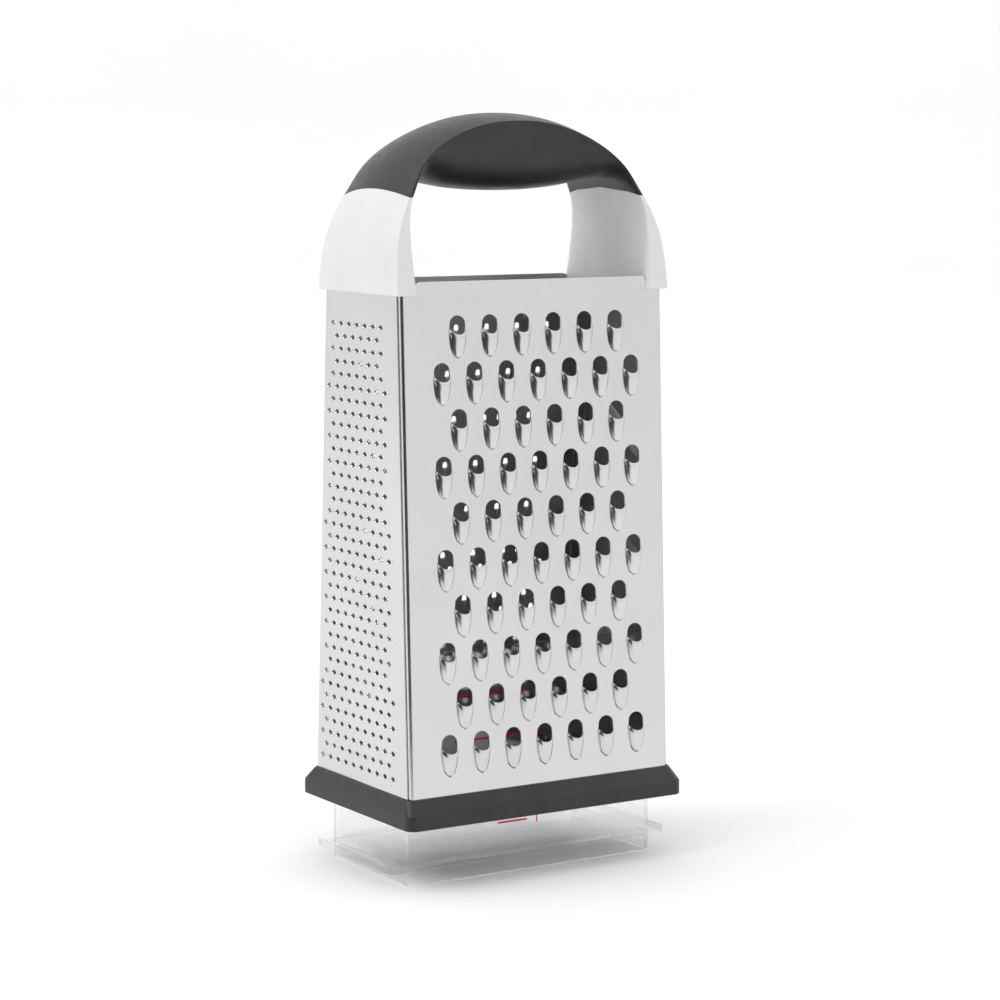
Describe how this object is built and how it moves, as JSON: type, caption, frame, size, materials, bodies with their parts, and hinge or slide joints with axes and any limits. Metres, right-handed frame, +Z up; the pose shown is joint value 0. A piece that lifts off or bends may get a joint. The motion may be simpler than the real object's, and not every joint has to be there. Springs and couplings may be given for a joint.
{
  "type": "box grater with container",
  "caption": "Four-sided steel box grater with an arched handle, standing on a clear catch container with a lid beneath it.",
  "frame": {"origin": "middle of the footprint, on the surface that the object stands on", "axes": "+Z up, -Y the way the coarse face looks, -X the way the fine face looks, +X the way the slicing face looks"},
  "size_m": [0.1182, 0.077, 0.268],
  "materials": {
    "steel": "satin",
    "white_plastic": "satin",
    "black_rubber": "matte",
    "black_plastic": "matte",
    "clear_plastic": "clear"
  },
  "bodies": {
    "lid": {"container_lid": "clear_plastic"},
    "catch": {"container": "clear_plastic"},
    "grater": {"coarse_panel": "steel", "medium_panel": "steel", "fine_panel": "steel", "slicer_panel": "steel", "handle_frame": "white_plastic", "handle_grip": "black_rubber", "base_frame": "black_plastic", "base_ring": "black_rubber"}
  },
  "joints": [
    {"name": "container_lift", "type": "slide", "parent": "lid", "child": "catch", "axis": [0, 0, 1], "range_m": [0, 0.02]},
    {"name": "grater_lift", "type": "slide", "parent": "catch", "child": "grater", "axis": [0, 0, 1], "range_m": [0, 0.09]}
  ]
}
